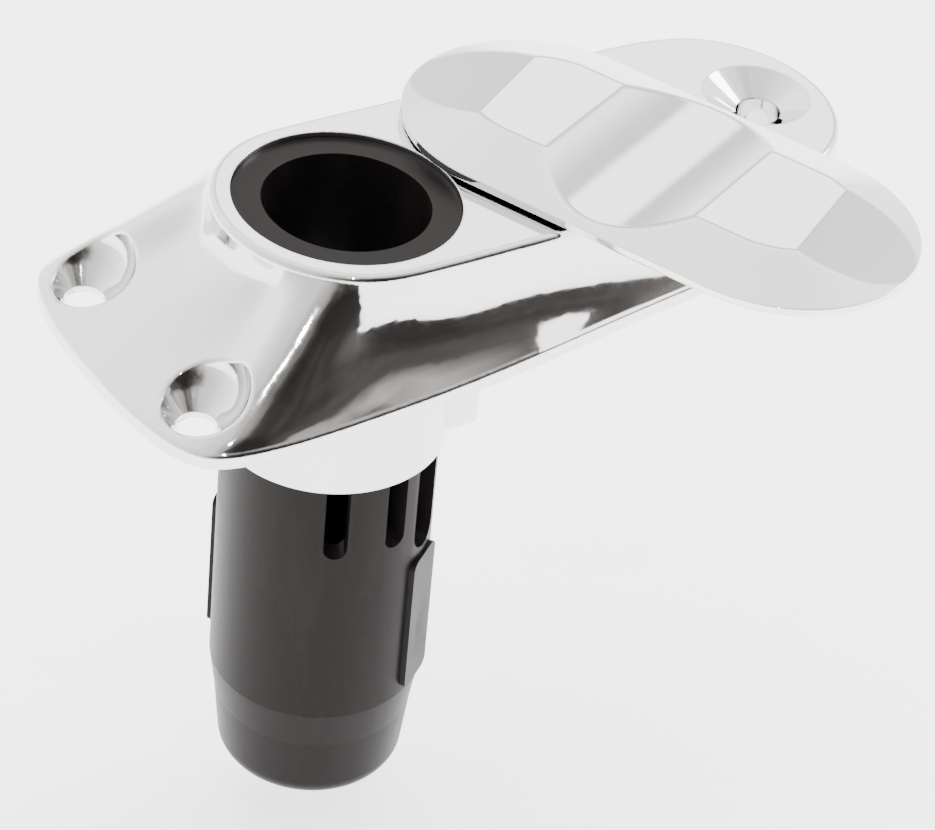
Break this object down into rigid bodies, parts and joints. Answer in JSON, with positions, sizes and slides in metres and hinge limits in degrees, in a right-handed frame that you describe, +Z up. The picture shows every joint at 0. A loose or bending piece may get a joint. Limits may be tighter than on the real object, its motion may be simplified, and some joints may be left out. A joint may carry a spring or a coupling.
{
  "type": "stanchion base",
  "caption": "Flush deck socket for a boat stanchion: a polished screw-down deck plate with a lined blind tube below it and a swivelling oval cover over the bore.",
  "frame": {"origin": "on the socket bore's axis, level with the underside of the deck flange", "axes": "+Z up out of the bore, square to the deck; +X towards the long nose of the deck plate; +Y to its left"},
  "size_m": [0.1309, 0.0829, 0.1128],
  "materials": {
    "polished_casting": "mirror polished",
    "polished_cover": "mirror polished",
    "black_liner": "semi-gloss moulded",
    "white_nylon": "satin",
    "plain_steel": "satin"
  },
  "bodies": {
    "base": {"deck_casting": "polished_casting", "casting_neck": "polished_casting", "socket_liner": "black_liner", "liner_end_cap": "black_liner", "thrust_washer": "white_nylon", "pivot_bush": "white_nylon"},
    "cover": {"swing_cover": "polished_cover", "pivot_stud": "plain_steel", "upper_washer": "plain_steel", "upper_disc_spring": "plain_steel", "lower_disc_spring": "plain_steel", "lower_washer": "plain_steel", "lock_nut": "plain_steel", "nut_insert": "white_nylon"}
  },
  "joints": [
    {"name": "cover_swing", "type": "hinge", "parent": "base", "child": "cover", "pos_m": [0.03993, 0, 0.01696], "axis": [0.061, 0, 0.9981], "continuous": true}
  ]
}
